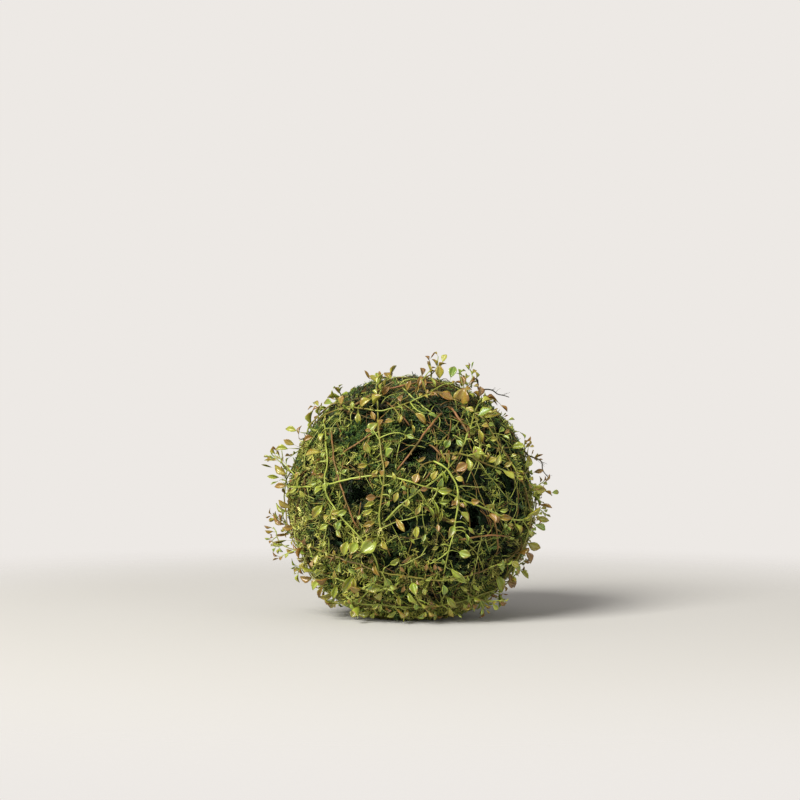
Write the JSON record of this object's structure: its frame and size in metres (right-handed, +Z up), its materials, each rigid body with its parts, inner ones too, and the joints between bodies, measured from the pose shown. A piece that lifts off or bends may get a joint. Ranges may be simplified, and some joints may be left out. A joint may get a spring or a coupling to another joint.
{
  "type": "leafy moss ball",
  "caption": "Hollow ball of woven twig hoops clad in pads of sheet moss, wound with bark twigs and leafy vines, resting on a small flat spot.",
  "frame": {"origin": "middle of the small flat spot that the ball rests on", "axes": "+Z up through the ball's middle, -Y towards the side shown in the picture, +X to that view's right"},
  "size_m": [0.2356, 0.2175, 0.2091],
  "materials": {
    "moss": "dried sheet moss, felted stems and tiny leaves, near black in its depth",
    "hoop_twig": "peeled willow twig, dull brown",
    "bark_twig": "thin orange-brown bark twig, satin",
    "vine_stem": "smooth green vine stem, browned in places",
    "leaf": "small waxy leaves, yellow-green with bronze edges",
    "rootlet": "thin dark rootlet"
  },
  "bodies": {
    "root": {"bark_twig_back": "bark_twig", "bark_twig_brow": "bark_twig", "bark_twig_cheek": "bark_twig", "bark_twig_hollow": "bark_twig", "bark_twig_left": "bark_twig", "bark_twig_left_back": "bark_twig", "bark_twig_low": "bark_twig", "bark_twig_low_back": "bark_twig", "bark_twig_middle": "bark_twig", "bark_twig_nape": "bark_twig", "bark_twig_right_back": "bark_twig", "bark_twig_rim": "bark_twig", "bark_twig_slant": "bark_twig", "bark_twig_temple": "bark_twig", "moss_base_pad": "moss", "moss_crown_pad": "moss", "moss_lower_pad_1": "moss", "moss_lower_pad_2": "moss", "moss_lower_pad_3": "moss", "moss_lower_pad_4": "moss", "moss_lower_pad_5": "moss", "moss_upper_pad_1": "moss", "moss_upper_pad_2": "moss", "moss_upper_pad_3": "moss", "moss_upper_pad_4": "moss", "moss_upper_pad_5": "moss", "rootlet_lower": "rootlet", "rootlet_upper": "rootlet", "sprig_back": "leaf", "sprig_back_left": "leaf", "sprig_back_right": "leaf", "sprig_bottom": "leaf", "sprig_left": "leaf", "sprig_low_left": "leaf", "sprig_low_right": "leaf", "sprig_right": "leaf", "sprig_top": "leaf", "sprig_top_right": "leaf", "twig_hoop_1": "hoop_twig", "twig_hoop_2": "hoop_twig", "twig_hoop_3": "hoop_twig", "twig_hoop_4": "hoop_twig", "twig_hoop_5": "hoop_twig", "twig_hoop_6": "hoop_twig", "vine_back": "vine_stem", "vine_band": "vine_stem", "vine_brow": "vine_stem", "vine_cheek": "vine_stem", "vine_chin": "vine_stem", "vine_front": "vine_stem", "vine_hem": "vine_stem", "vine_keel": "vine_stem", "vine_left": "vine_stem", "vine_limb": "vine_stem", "vine_nape": "vine_stem", "vine_olive": "vine_stem", "vine_shoot": "vine_stem", "vine_shoulder": "vine_stem"}
  },
  "joints": []
}
